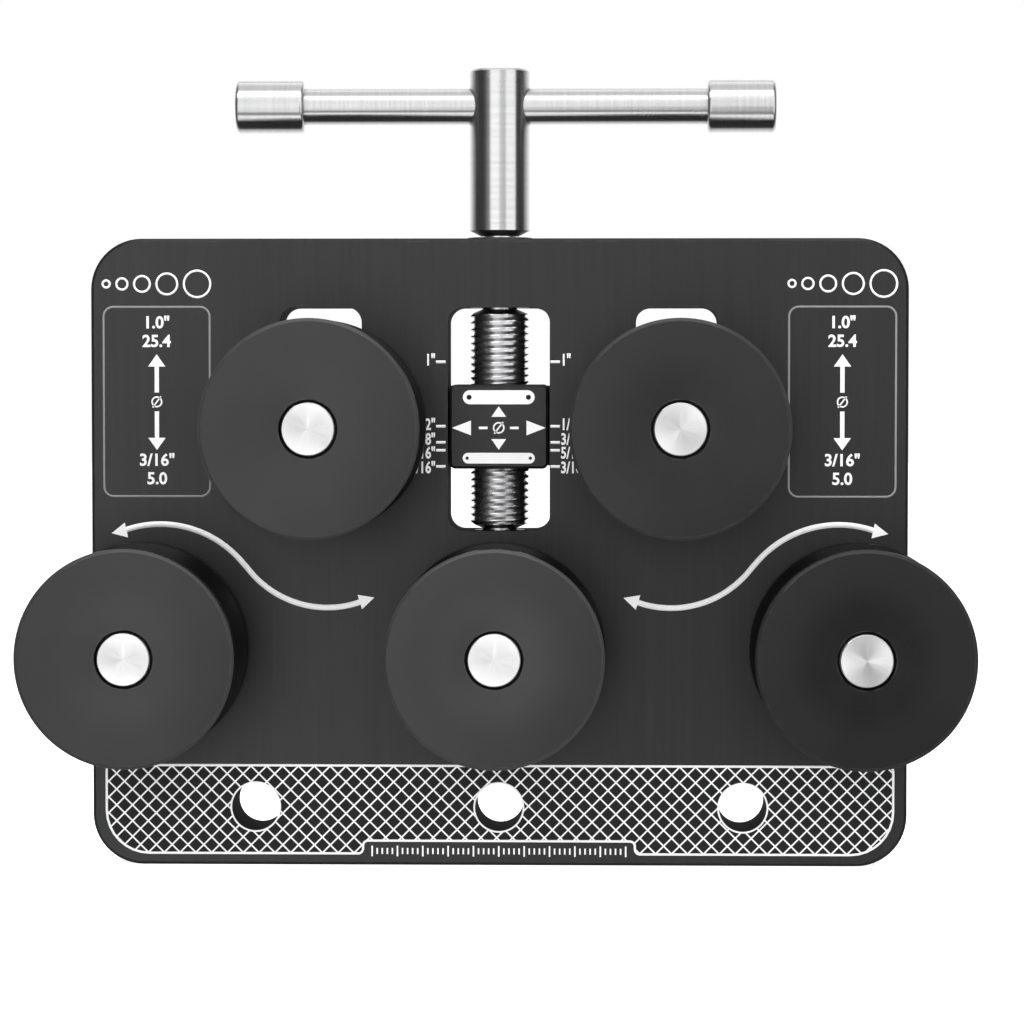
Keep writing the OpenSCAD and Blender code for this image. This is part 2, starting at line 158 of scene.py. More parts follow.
def wayTo(azimuth, rise):
    azimuth, rise = math.radians(azimuth), math.radians(rise)
    level = math.cos(rise)
    return Vector((math.sin(azimuth) * level, -math.cos(azimuth) * level, math.sin(rise)))


def addSoftbox(name, box):
    data = bpy.data.lights.new(name, "AREA")
    data.shape = "RECTANGLE"
    data.size, data.size_y = box["size"][0] * mm, box["size"][1] * mm
    data.energy = box["glow"] * math.pi * data.size * data.size_y   # watts for that radiance
    away = wayTo(box["azimuth"], box["rise"])
    light = bpy.data.objects.new(name, data)
    light.location = aim + away * box["reach"] * mm
    light.rotation_mode = "QUATERNION"
    light.rotation_quaternion = away.to_track_quat("Z", "Y")
    light.visible_camera = False
    scene.collection.objects.link(light)


def addSurroundings(values):
    world = bpy.data.worlds.new("studio")
    world.use_nodes = True
    tree = world.node_tree
    tree.nodes.clear()
    direction = read(tree, "ShaderNodeTexCoord", "Generated")
    total = values["sides"]
    for glow in values["glows"]:
        facing = vectorMaths(tree, "DOT_PRODUCT", direction, wayTo(glow["azimuth"], glow["rise"]))
        part = mapRange(tree, facing, glow["start"], glow["full"], 0.0, glow["radiance"])
        total = maths(tree, "ADD", total, part)
    seen = read(tree, "ShaderNodeLightPath", "Is Camera Ray")
    strength = addNode(tree, "ShaderNodeMix", {"Factor": seen, "A": total, "B": values["camera"]})
    white = {"Color": (1, 1, 1, 1), "Strength": strength["Result"]}
    background = addNode(tree, "ShaderNodeBackground", white)["Background"]
    addNode(tree, "ShaderNodeOutputWorld", {"Surface": background})
    scene.world = world


def addFloor(sheet):
    half = sheet["width"] / 2
    corners = [(-half, -half), (half, -half), (half, half), (-half, half)]
    mesh = bpy.data.meshes.new("floorSheet")
    mesh.from_pydata([(x, y, cadBox[0].z) for x, y in corners], [], [(0, 1, 2, 3)])
    material = bpy.data.materials.new("paleFloor")
    material.use_nodes = True
    link(material.node_tree, material.node_tree.nodes["Principled BSDF"].inputs, {
        "Base Color": (*sheet["colour"], 1), "Roughness": sheet["roughness"],
        "Emission Color": (1, 1, 1, 1), "Emission Strength": sheet["glow"]})
    mesh.materials.append(material)
    floor = bpy.data.objects.new("floorSheet", mesh)
    floor.visible_glossy = False
    floor.visible_diffuse = False
    floor.visible_shadow = False
    scene.collection.objects.link(floor)


addCamera(cameraView)
for boxName, box in softboxes.items():
    addSoftbox(boxName, box)
addSurroundings(surroundings)
addFloor(floorSheet)
print("studio: camera,", len(softboxes), "softboxes and floor")

# Shared shader groups: each gives masks that the materials mix in their own way

patterns = {   # noise scale, detail and roughness
    "grainTone": (0.35, 2.0, 0.6), "grainFine": (1.6, 2.0, 0.7),
    "rings": (0.5, 3.0, 0.65), "fans": (1.0, 2.0, 0.5),
    "wearPatches": (400.0, 4.0, 0.6), "smears": (1.0, 4.0, 0.55),
}
edgeWear = {"samples": 4, "cosines": (0.995, 0.93), "softness": 0.12}


def shaderGroup(name, inputs, outputs):
    group = bpy.data.node_groups.new(name, "ShaderNodeTree")
    for label, value in inputs.items():
        kind = "NodeSocketVector" if isinstance(value, tuple) else "NodeSocketFloat"
        socket = group.interface.new_socket(name=label, in_out="INPUT", socket_type=kind)
        socket.default_value = value
    for label in outputs:
        group.interface.new_socket(name=label, in_out="OUTPUT", socket_type="NodeSocketFloat")
    return group, group.nodes.new("NodeGroupInput").outputs


def brushedGrainGroup():   # long fine scratches, along the axis that is stretched least
    inputs = {"Vector": (0, 0, 0), "Stretch": (3000, 3000, 60)}
    group, given = shaderGroup("brushedGrain", inputs, ["Tone", "Fine"])
    stretched = vectorMaths(group, "MULTIPLY", given["Vector"], given["Stretch"])
    tone = noise(group, stretched, *patterns["grainTone"])
    fine = noise(group, stretched, *patterns["grainFine"])
    addNode(group, "NodeGroupOutput", {"Tone": tone, "Fine": fine})
    return group


def turningLinesGroup():   # rings and fans round the local Z axis, as a facing cut leaves them
    inputs = {"Vector": (0, 0, 0), "Pitch": 0.0002, "Fans": 2.5, "Lean": (1, 0, 0)}
    group, given = shaderGroup("turningLines", inputs, ["Rings", "Fans", "Radius", "Leaning Fan"])
    flat = vectorMaths(group, "MULTIPLY", given["Vector"], (1, 1, 0))
    radius = vectorMaths(group, "LENGTH", flat)
    rings = maths(group, "DIVIDE", radius, given["Pitch"])
    outwards = vectorMaths(group, "NORMALIZE", flat)
    spread = vectorMaths(group, "MULTIPLY", outwards, given["Fans"])
    leaning = vectorMaths(group, "DOT_PRODUCT", outwards, given["Lean"])
    addNode(group, "NodeGroupOutput", {
        "Rings": noise(group, rings, *patterns["rings"], "1D"),
        "Fans": noise(group, spread, *patterns["fans"]),
        "Radius": radius, "Leaning Fan": maths(group, "POWER", leaning, 2.0)})
    return group


def edgeWearGroup():   # 1 on outer edges within Width, broken up by noise
    inputs = {"Vector": (0, 0, 0), "Width": 0.0003, "Patches": 0.5}
    group, given = shaderGroup("edgeWear", inputs, ["Mask"])
    bevel = addNode(group, "ShaderNodeBevel", {"Radius": given["Width"]}, samples=edgeWear["samples"])
    normal = read(group, "ShaderNodeNewGeometry", "Normal")
    edge = mapRange(group, vectorMaths(group, "DOT_PRODUCT", bevel["Normal"], normal), *edgeWear["cosines"])
    patch = noise(group, given["Vector"], *patterns["wearPatches"])
    full = maths(group, "ADD", given["Patches"], edgeWear["softness"])
    mask = maths(group, "MULTIPLY", edge, mapRange(group, patch, given["Patches"], full))
    addNode(group, "NodeGroupOutput", {"Mask": mask})
    return group


def handlingGroup():   # faint smears of about Size
    group, given = shaderGroup("handling", {"Vector": (0, 0, 0), "Size": 0.02}, ["Smear"])
    shrink = maths(group, "DIVIDE", 1.0, given["Size"])
    smear = noise(group, vectorMaths(group, "MULTIPLY", given["Vector"], shrink), *patterns["smears"])
    addNode(group, "NodeGroupOutput", {"Smear": smear})
    return group


groups = {
    "grain": brushedGrainGroup(),
    "turning": turningLinesGroup(),
    "wear": edgeWearGroup(),
    "handling": handlingGroup(),
}


def useGroup(tree, group, **values):
    return addNode(tree, "ShaderNodeGroup", values, node_tree=groups[group])


# Materials

axisTurns = {   # each brings that axis to local Z
    "X": (0, math.radians(90), 0), "Y": (math.radians(90), 0, 0), "Z": (0, 0, 0),
}
noiseSpan = (0.3, 0.7)   # nearly all of a noise lies within this


def grey(value, tint=0.0):
    return (value, value, value * (1 + tint), 1)


# Gives the material, its node tree, its surface sockets and object coordinates seen from the centre
def newMaterial(name, centre=(0, 0, 0), turn=(0, 0, 0)):
    material = bpy.data.materials.new(name)
    material.use_nodes = True
    tree = material.node_tree
    place = read(tree, "ShaderNodeTexCoord", "Object")
    values = {"Vector": place, "Location": centre, "Rotation": turn}
    seen = addNode(tree, "ShaderNodeMapping", values, vector_type="TEXTURE")["Vector"]
    return material, tree, tree.nodes["Principled BSDF"].inputs, seen


def smearedRoughness(tree, place, size, roughness):
    smear = useGroup(tree, "handling", Vector=place, Size=size)["Smear"]
    return mapRange(tree, smear, *noiseSpan, *roughness)


def wornEdges(tree, place, look):
    return useGroup(tree, "wear", Vector=place, Width=look["wearWidth"], Patches=look["patches"])["Mask"]


def blended(tree, first, second, share):   # the share is the second one's
    rest = maths(tree, "MULTIPLY", first, 1 - share)
    return mapRange(tree, maths(tree, "MULTIPLY_ADD", second, share, rest), *noiseSpan)


def addBump(tree, surface, height, depth):
    bump = addNode(tree, "ShaderNodeBump", {"Strength": 1.0, "Distance": depth, "Height": height})
    link(tree, surface, {"Normal": bump["Normal"]})


def stretchAcross(tree, surface, axis, amount):   # fine grooves spread highlights across themselves
    tangent = addNode(tree, "ShaderNodeTangent", {}, direction_type="RADIAL", axis=axis)[0]
    link(tree, surface, {
        "Tangent": tangent, "Anisotropic": amount, "Anisotropic Rotation": 0.25})   # a quarter turn


anodised = {
    "dark": grey(0.004, 0.02), "light": grey(0.01, 0.02), "fine": 0.5, "edge": grey(0.08), "wear": 0.5,
    # the wall colour and specular level below paint shade on the walls inside the windows and holes
    "wall": grey(0.003), "wallRoughness": 0.85, "wallSpecular": 0.037, "wallFacing": 0.3,
    "roughness": (0.34, 0.42), "specular": 0.37, "grainDepth": 0.000002, "smearSize": 0.03,
    "wearWidth": 0.00025, "patches": 0.5,
    "inside": (0.06, -0.008, 0.104),   # windows and holes lie within this x, and between these heights
}


def insideWalls(tree, place):   # milled walls that are square to the front, in the windows and holes; the finish paints shade on them
    reach, low, high = anodised["inside"]
    spot = parted(tree, place)
    facing = parted(tree, read(tree, "ShaderNodeNewGeometry", "True Normal"))
    mask = maths(tree, "LESS_THAN", maths(tree, "ABSOLUTE", facing["Y"]), anodised["wallFacing"])
    for test, value, limit in (("LESS_THAN", maths(tree, "ABSOLUTE", spot["X"]), reach),
                               ("GREATER_THAN", spot["Z"], low), ("LESS_THAN", spot["Z"], high)):
        mask = maths(tree, "MULTIPLY", mask, maths(tree, test, value, limit))
    return mask


def anodisedFinish(name, stretch, paintedShadeWalls=True):
    look = anodised
    material, tree, surface, place = newMaterial(name)
    grain = useGroup(tree, "grain", Vector=place, Stretch=stretch)
    tone = blended(tree, grain["Tone"], grain["Fine"], look["fine"])
    colour = mixColours(tree, tone, look["dark"], look["light"])
    worn = maths(tree, "MULTIPLY", wornEdges(tree, place, look), look["wear"])
    colour = mixColours(tree, worn, colour, look["edge"])
    roughness = smearedRoughness(tree, place, look["smearSize"], look["roughness"])
    link(tree, surface, {"Specular IOR Level": look["specular"]})
    if paintedShadeWalls:
        # painted shade: the walls inside the windows and holes get a darker colour and a lower specular
        # level
        wall = insideWalls(tree, place)
        colour = mixColours(tree, wall, colour, look["wall"])
        rough = maths(tree, "MULTIPLY", wall, look["wallRoughness"])
        roughness = maths(tree, "MAXIMUM", roughness, rough)
        paintedLightGloss = mapRange(tree, wall, 0.0, 1.0, look["specular"], look["wallSpecular"])
        link(tree, surface, {"Specular IOR Level": paintedLightGloss})
    link(tree, surface, {"Base Color": colour, "Roughness": roughness})
    addBump(tree, surface, grain["Fine"], look["grainDepth"])
    return material


rollerSkin = {
    "dark": grey(0.004), "light": grey(0.008), "fans": 0.6, "edge": grey(0.06),
    # the side share of gloss is painted shade behind the front flange, and the rim colour is a painted
    # highlight on its chamfer
    "roughness": (0.33, 0.4), "specular": 0.4, "anisotropy": 0.4, "paintedShadeSideGloss": 0.35,
    "rim": 0.036, "rimDepths": (0.0444, 0.04497), "rimRadius": 0.0195,
    "linePitch": 0.0003, "lineDepth": 0.000001, "fanSpread": 1.3, "smearSize": 0.02,
    "wearWidth": 0.0003, "patches": 0.42,
    "paintedLightGloss": {   # painted light and shade for each roller: specular levels near the rim, and round the hole
        "upper_left": (1.08, 1.12), "upper_right": (0.86, 0.77),
        "lower_left": (1.02, 1.15), "lower_middle": (1.16, 1.38), "lower_right": (0.63, 0.43),
    },
    "glossRadii": (0.0095, 0.015),
}


def rollerFinish(name, centre, paintedLightGloss):
    look = rollerSkin
    material, tree, surface, place = newMaterial(name, centre, axisTurns["Y"])
    turning = useGroup(tree, "turning", Vector=place, Pitch=look["linePitch"], Fans=look["fanSpread"])
    tone = blended(tree, turning["Rings"], turning["Fans"], look["fans"])
    colour = mixColours(tree, tone, look["dark"], look["light"])
    depth = parted(tree, place)["Z"]
    radius = vectorMaths(tree, "LENGTH", vectorMaths(tree, "MULTIPLY", place, (1, 1, 0)))
    low, high = look["rimDepths"]   # the chamfer round the front gets a paler colour, a painted highlight; all behind it reflects less, a painted shade
    front = maths(tree, "GREATER_THAN", depth, low)
    rim = maths(tree, "MULTIPLY", front, maths(tree, "LESS_THAN", depth, high))
    rim = maths(tree, "MULTIPLY", rim, maths(tree, "GREATER_THAN", radius, look["rimRadius"]))
    # painted highlight on the front chamfer, scaled per roller
    colour = mixColours(tree, rim, colour, grey(look["rim"] * paintedLightGloss[0]))
    worn = maths(tree, "MULTIPLY", wornEdges(tree, place, look), front)
    colour = mixColours(tree, worn, colour, look["edge"])
    # painted shade: behind the front flange the specular level drops to the side share
    shine = maths(tree, "MULTIPLY_ADD", front, 1 - look["paintedShadeSideGloss"], look["paintedShadeSideGloss"])
    # painted light and shade per roller: the specular level near the rim and round the hole
    outer, inner = (look["specular"] * part for part in paintedLightGloss)
    level = mapRange(tree, radius, *look["glossRadii"], inner, outer)
    link(tree, surface, {"Specular IOR Level": outer})   # what is left where a link isn't read
    link(tree, surface, {
        "Base Color": colour, "Specular IOR Level": maths(tree, "MULTIPLY", shine, level),
        "Roughness": smearedRoughness(tree, place, look["smearSize"], look["roughness"])})
    stretchAcross(tree, surface, "Y", look["anisotropy"])
    addBump(tree, surface, turning["Rings"], look["lineDepth"])
    return material


steels = {
    "bright": {
        "colour": grey(0.47, 0.01), "shade": grey(0.435, 0.01), "roughness": (0.24, 0.29),
        "anisotropy": 0.8,
    },
    # the thread is the same steel as the bright kind, with a paler colour that is painted light
    "thread": {
        "colour": grey(0.68, 0.01), "shade": grey(0.6, 0.01), "roughness": (0.2, 0.3),
        "anisotropy": 0.0,
    },
    "grain": (120, 120, 4200), "toneSpan": (0.35, 0.65), "linePitch": 0.0002, "lineDepth": 3e-7,
    "smearSize": 0.012,
}


def turnedSteel(name, centre, axis, kind="bright"):
    steel = steels[kind]
    material, tree, surface, place = newMaterial(name, centre, axisTurns[axis])
    grain = useGroup(tree, "grain", Vector=place, Stretch=steels["grain"])
    turning = useGroup(tree, "turning", Vector=place, Pitch=steels["linePitch"])
    tone = mapRange(tree, grain["Tone"], *steels["toneSpan"])
    link(tree, surface, {
        "Base Color": mixColours(tree, tone, steel["colour"], steel["shade"]), "Metallic": 1.0,
        "Roughness": smearedRoughness(tree, place, steels["smearSize"], steel["roughness"])})
    stretchAcross(tree, surface, axis, steel["anisotropy"])
    height = maths(tree, "ADD", grain["Fine"], turning["Rings"])
    addBump(tree, surface, height, steels["lineDepth"])
    return material


axleEnd = {
    "middle": 0.46, "rim": 0.58, "radii": (0.001, 0.0046), "fanSpread": 1.6, "fanSpan": (0.35, 0.65),
    "roughness": (0.27, 0.33), "anisotropy": 0.85, "linePitch": 0.0002, "lineDepth": 5e-7,
    "smearSize": 0.004,
    "paintedLight": {   # painted light and shade for each axle end: brightness, and how much darker the fan is that leans by so many degrees
        "upper_left": (0.96, 0, 0), "upper_right": (1.2, 0.18, 162),
        "lower_left": (0.98, 0, 0), "lower_middle": (1.19, 0, 0), "lower_right": (1.42, 0.33, 103),
    },
}


def axleSteel(name, centre, paintedLight):   # the faced end shows fans of light and shade round its middle
    look = axleEnd
    material, tree, surface, place = newMaterial(name, centre, axisTurns["Y"])
    bright, dark, lean = paintedLight
    way = (math.cos(math.radians(lean)), math.sin(math.radians(lean)), 0)
    turning = useGroup(
        tree, "turning", Vector=place, Pitch=look["linePitch"], Fans=look["fanSpread"], Lean=way)
    # painted light and shade: paler outwards and in the fans, darker in the middle; each end has its own
    # brightness, and one leaning fan is darkened
    outwards = mapRange(tree, turning["Radius"], *look["radii"])
    paintedLightShare = maths(tree, "MAXIMUM", outwards, mapRange(tree, turning["Fans"], *look["fanSpan"]))
    colour = mixColours(tree, paintedLightShare, grey(look["middle"] * bright), grey(look["rim"] * bright))
    shade = maths(tree, "MULTIPLY", turning["Leaning Fan"], dark)
    link(tree, surface, {
        "Base Color": mixColours(tree, shade, colour, grey(0)), "Metallic": 1.0,
        "Roughness": smearedRoughness(tree, place, look["smearSize"], look["roughness"])})
    stretchAcross(tree, surface, "Y", look["anisotropy"])
    addBump(tree, surface, turning["Rings"], look["lineDepth"])
    return material


plainMetals = {   # colour, its shade, and roughness
    "groundSteel": (grey(0.62), grey(0.52), (0.16, 0.28)),
    "blackOxide": (grey(0.06), grey(0.09), (0.35, 0.5)),
    # near-black steel that paints shade into the gap round an axle's end
    "paintedShadeSteel": (grey(0.02), grey(0.035), (0.5, 0.65)),
}
etchedTones = {   # colour, its shade, and specular level
    "etchedWhite": (grey(0.98), grey(0.94), 0.5),
    "etchedGrey": (grey(0.28), grey(0.22), 0.5),
    "etchedBlack": (grey(0.004), grey(0.008), 0.25),
}
smears = {"metal": 0.01, "etched": 0.003}
etchedRoughness = 0.65


def plainMetal(name):
    colour, shade, roughness = plainMetals[name]
    material, tree, surface, place = newMaterial(name)
    smear = useGroup(tree, "handling", Vector=place, Size=smears["metal"])["Smear"]
    link(tree, surface, {
        "Base Color": mixColours(tree, smear, colour, shade), "Metallic": 1.0,
        "Roughness": mapRange(tree, smear, *noiseSpan, *roughness)})
    return material


def etchedFinish(name):   # metal that a laser has roughened
    colour, shade, specular = etchedTones[name]
    material, tree, surface, place = newMaterial(name)
    smear = useGroup(tree, "handling", Vector=place, Size=smears["etched"])["Smear"]
    link(tree, surface, {
        "Base Color": mixColours(tree, smear, colour, shade), "Roughness": etchedRoughness,
        "Specular IOR Level": specular})
    return material


# Meshes


def addPiece(name, mesh, material=None):
    piece = bpy.data.objects.new(name, mesh)
    scene.collection.objects.link(piece)
    if material:
        mesh.materials.clear()
        mesh.materials.append(material)
    return piece


def shadeSmooth(mesh, sharpAngle):
    mesh.shade_smooth()
    mesh.set_sharp_from_angle(angle=math.radians(sharpAngle))


# Closed outline with each corner replaced by an arc, where its radius isn't 0
def roundedCorners(points, radii, steps):
    outline = []
    for i, (corner, radius) in enumerate(zip(points, radii)):
        here = Vector(corner)
        before = (Vector(points[i - 1]) - here).normalized()
        after = (Vector(points[(i + 1) % len(points)]) - here).normalized()
        bend = before.angle(after)
        if radius == 0 or bend > math.radians(179):   # no arc, or nothing to bend
            outline.append(here)
            continue
        middle = here + (before + after).normalized() * radius / math.sin(bend / 2)
        start = here + before * radius / math.tan(bend / 2) - middle
        sweep = (math.pi - bend) * (1 if before.cross(after) < 0 else -1)
        for k in range(steps + 1):
            outline.append(middle + Matrix.Rotation(sweep * k / steps, 2) @ start)
    return outline


# Turns a closed profile of (radius, depth) about a level axis that points forwards
def lathe(name, profile, centre, steps, sharpAngle=30):
    bm = bmesh.new()
    rings = []
    for radius, depth in profile:
        turns = [2 * math.pi * k / steps for k in range(steps if radius > 0 else 1)]
        rings.append([bm.verts.new((
            centre[0] + radius * math.cos(a), -depth, centre[1] + radius * math.sin(a))) for a in turns])
    for ring, following in zip(rings, rings[1:] + rings[:1]):
        if len(ring) == 1 and len(following) == 1:
            continue
        for k in range(steps):
            corners = [ring[k % len(ring)], ring[(k + 1) % len(ring)],
                       following[(k + 1) % len(following)], following[k % len(following)]]
            bm.faces.new(list(dict.fromkeys(corners)))
    bmesh.ops.remove_doubles(bm, verts=bm.verts, dist=1e-7)
    bmesh.ops.recalc_face_normals(bm, faces=bm.faces)
    mesh = bpy.data.meshes.new(name)
    bm.to_mesh(mesh)
    bm.free()
    shadeSmooth(mesh, sharpAngle)
    return mesh


# Rollers

rollerForm = {   # mm
    "grooveRoot": 15.4, "grooveRadius": 13.5, "rim": 0.6, "bore": 11.0, "faceHole": 5.5, "faceWall": 3.0,
    "reliefRadius": 9.0, "reliefDepth": 0.6, "clipWall": 1.9, "clip": 1.0, "clipGroove": 0.5,
    "edge": 0.16, "boreEdge": 0.1, "holeBevel": 0.15, "holeEdge": 0.04,
    "around": 144, "alongGroove": 32, "cornerSteps": 3,
}
stations = ["upper_left", "upper_right", "lower_left", "lower_middle", "lower_right"]


def rollerProfile(form, radius, rear, front):
    middle = (rear + front) / 2
    heart = form["grooveRoot"] + form["grooveRadius"]
    reach = math.acos((heart - radius) / form["grooveRadius"])
    groove = []
    for k in range(form["alongGroove"] + 1):
        angle = reach * (2 * k / form["alongGroove"] - 1)
        groove.append((heart - form["grooveRadius"] * math.cos(angle),
                       middle + form["grooveRadius"] * math.sin(angle)))
    rim, edge, bore, hole = form["rim"], form["edge"], form["bore"], form["faceHole"]
    wall = front - form["faceWall"]
    clipRear = rear + form["clipWall"]
    clipFront = clipRear + form["clip"]
    relief = wall + form["reliefDepth"]
    corners = [
        ((bore, rear), form["boreEdge"]), ((radius - rim, rear), edge), ((radius, rear + rim), edge),
        (groove[0], edge), *[(point, 0) for point in groove[1:-1]], (groove[-1], edge),
        ((radius, front - rim), edge), ((radius - rim, front), edge),
        ((hole + form["holeBevel"], front), form["holeEdge"]),
        ((hole, front - form["holeBevel"]), form["holeEdge"]),
        ((hole, relief), 0), ((form["reliefRadius"], relief), 0), ((form["reliefRadius"], wall), 0),
        ((bore, wall), 0), ((bore, clipFront), 0), ((bore + form["clipGroove"], clipFront), 0),
        ((bore + form["clipGroove"], clipRear), 0), ((bore, clipRear), 0),
    ]
    points, radii = zip(*corners)
    return roundedCorners(points, radii, form["cornerSteps"])


def makeRoller(station):
    node = station + "_roller"
    low, high = (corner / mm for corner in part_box(node))
    centre = Vector(((low.x + high.x) / 2, (low.z + high.z) / 2)) * mm
    profile = rollerProfile(rollerForm, (high.x - low.x) / 2, -high.y, -low.y)
    mesh = lathe(station + "Roller", [(r * mm, d * mm) for r, d in profile], centre, rollerForm["around"])
    place = (centre.x, 0, centre.y)
    skin = rollerFinish(station + "Skin", place, rollerSkin["paintedLightGloss"][station])
    piece = addPiece(station + "Roller", mesh, skin)
    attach(piece, "roller_" + station)
    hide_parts(node)
    return place


stationPlaces = {station: makeRoller(station) for station in stations}
print("rollers:", len(stationPlaces))

# Geometry Nodes: trees, and the step that turns their result into a plain mesh


def geometryTree(name, inputs):   # an input's name maps to its kind
    tree = bpy.data.node_groups.new(name, "GeometryNodeTree")
    tree.interface.new_socket(name="Geometry", in_out="INPUT", socket_type="NodeSocketGeometry")
    for label, kind in inputs.items():
        tree.interface.new_socket(name=label, in_out="INPUT", socket_type="NodeSocket" + kind)
    tree.interface.new_socket(name="Geometry", in_out="OUTPUT", socket_type="NodeSocketGeometry")
    return tree, tree.nodes.new("NodeGroupInput").outputs


def endTree(tree, geometry, material):
    plain = addNode(tree, "GeometryNodeRealizeInstances", {"Geometry": geometry})["Geometry"]
    clad = addNode(tree, "GeometryNodeSetMaterial", {"Geometry": plain, "Material": material})
    addNode(tree, "NodeGroupOutput", {"Geometry": clad["Geometry"]})
    return tree


def growMesh(name, tree, values, seedMesh=None):
    seed = addPiece(name + "Seed", seedMesh or bpy.data.meshes.new(name + "Seed"))
    modifier = seed.modifiers.new("shape", "NODES")
    modifier.node_group = tree
    for item in tree.interface.items_tree:
        if item.in_out == "INPUT" and item.name in values:
            modifier[item.identifier] = values[item.name]
    seed.update_tag()
    evaluated = seed.evaluated_get(bpy.context.evaluated_depsgraph_get())
    mesh = bpy.data.meshes.new_from_object(evaluated)
    mesh.name = name
    bpy.data.objects.remove(seed)
    return mesh


# A right-handed thread on an upright axis, closed at both ends, whose rows of vertices follow the helix
def helicalThreadTree():
    floats = ("Diameter", "Depth", "Pitch", "Crest", "Low", "High", "Cone", "Neck Radius")
    kinds = {"Around": "Int", "Per Pitch": "Int", "Axis": "Vector", "Material": "Material"}
    tree, given = geometryTree("helicalThread", {**{label: "Float" for label in floats}, **kinds})
    low, high, pitch = given["Low"], given["High"], given["Pitch"]

    def calc(operation, *values):
        return maths(tree, operation, *values)

    length = calc("SUBTRACT", high, low)
    # The rows run past the ends: of three more pitches, two are below the low end
    pitches = calc("ADD", calc("CEIL", calc("DIVIDE", length, pitch)), 3.0)
    rows = calc("MULTIPLY", pitches, given["Per Pitch"])
    grid = addNode(tree, "GeometryNodeMeshGrid", {
        "Vertices X": calc("ADD", given["Around"], 1.0),
        "Vertices Y": calc("ADD", rows, 1.0), "Size X": 1.0, "Size Y": 1.0})
    spot = parted(tree, read(tree, "GeometryNodeInputPosition", "Position"))
    around = calc("ADD", spot["X"], 0.5)
    climbed = calc("MULTIPLY", calc("ADD", spot["Y"], 0.5), pitches)
    wound = calc("SUBTRACT", calc("ADD", climbed, around), 2.0)
    height = calc("ADD", low, calc("MULTIPLY", wound, pitch))
    level = calc("MINIMUM", calc("MAXIMUM", height, low), high)
    phase = calc("ABSOLUTE", calc("SUBTRACT", calc("FRACT", climbed), 0.5))
    flank = calc("SUBTRACT", 0.5, calc("MULTIPLY", given["Crest"], 0.5))
    steep = calc("DIVIDE", calc("SUBTRACT", 0.5, phase), flank)
    outer = calc("MULTIPLY", given["Diameter"], 0.5)
    root = calc("SUBTRACT", outer, given["Depth"])
    cut = calc("MULTIPLY_ADD", calc("MINIMUM", steep, 1.0), given["Depth"], root)
    ends = calc("MINIMUM", calc("SUBTRACT", level, low), calc("SUBTRACT", high, level))
    step = calc("SUBTRACT", outer, given["Neck Radius"])
    slope = calc("DIVIDE", step, given["Cone"])
    cone = calc("MULTIPLY_ADD", ends, slope, given["Neck Radius"])
    row = calc("DIVIDE", pitch, given["Per Pitch"])
    over = calc("ABSOLUTE", calc("SUBTRACT", height, level))
    kept = calc("LESS_THAN", over, row)   # rows past an end collapse into its middle
    radius = calc("MULTIPLY", calc("MINIMUM", cut, cone), kept)
    angle = calc("MULTIPLY", around, 2 * math.pi)
    x = calc("MULTIPLY", radius, calc("COSINE", angle))
    y = calc("MULTIPLY", radius, calc("SINE", angle))
    place = vectorMaths(tree, "ADD", joined(tree, x, y, level), given["Axis"])
    bent = addNode(tree, "GeometryNodeSetPosition", {"Geometry": grid["Mesh"], "Position": place})
    welded = addNode(tree, "GeometryNodeMergeByDistance", {"Geometry": bent["Geometry"], "Distance": 1e-6})
    return endTree(tree, welded["Geometry"], given["Material"])


# Lead screw

leadScrew = {   # mm; the rest comes from the frame
    "diameter": 11.6, "pitch": 1.35, "depthShare": 0.54, "crestShare": 0.16, "cone": 1.0,
    "neck": 7.0, "spigot": 5.0, "threadLow": 54.86, "threadHigh": 98.1, "chamfer": 0.4, "overlap": 0.2,
    "around": 96, "perPitch": 12, "sharpAngle": 25,
}


def uprightAxis(node):
    low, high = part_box(node)
    return Vector(((low.x + high.x) / 2, (low.y + high.y) / 2, 0))


def makeLeadScrew(form):
    axis = uprightAxis("lead_screw")
    foot, top = (corner.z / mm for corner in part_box("lead_screw"))
    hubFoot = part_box("handle_hub")[0].z / mm
    neck, spigot = form["neck"] / 2, form["spigot"] / 2
    threadLow, threadHigh = form["threadLow"], form["threadHigh"]
    threadSteel = turnedSteel("threadSteel", axis, "Z", "thread")
    thread = growMesh("leadScrewThread", helicalThreadTree(), {
        "Diameter": form["diameter"] * mm, "Depth": form["depthShare"] * form["pitch"] * mm,
        "Pitch": form["pitch"] * mm, "Crest": form["crestShare"], "Low": threadLow * mm,
        "High": threadHigh * mm, "Cone": form["cone"] * mm, "Neck Radius": neck * mm,
        "Around": form["around"], "Per Pitch": form["perPitch"], "Axis": axis, "Material": threadSteel})
    shadeSmooth(thread, form["sharpAngle"])
    pieces = [addPiece("leadScrewThread", thread)]
    chamfer, within = form["chamfer"], threadLow + form["overlap"]
    stemFoot = threadHigh - form["overlap"]
    profiles = {   # mm of radius and height; the ends lie on the axis
        "leadScrewJournal": [(0, foot), (neck - chamfer, foot), (neck, foot + chamfer), (neck, within),
                             (0, within)],
        "leadScrewStem": [(0, stemFoot), (neck, stemFoot), (neck, hubFoot), (spigot, hubFoot),
                          (spigot, top), (0, top)],
    }
    for name, profile in profiles.items():
        mesh = lathe(name, [(r * mm, -h * mm) for r, h in profile], (0, 0), form["around"])
        mesh.transform(Matrix.Translation(axis) @ Matrix.Rotation(math.radians(90), 4, "X"))
        pieces.append(addPiece(name, mesh, threadSteel))
    for piece in pieces:
        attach(piece, "screw")
        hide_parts("lead_screw")


makeLeadScrew(leadScrew)
print("lead screw: helical thread, journal and stem")

# Etched marks. They are drawn in a flat plane, x to the right and y up, and then set on a face.


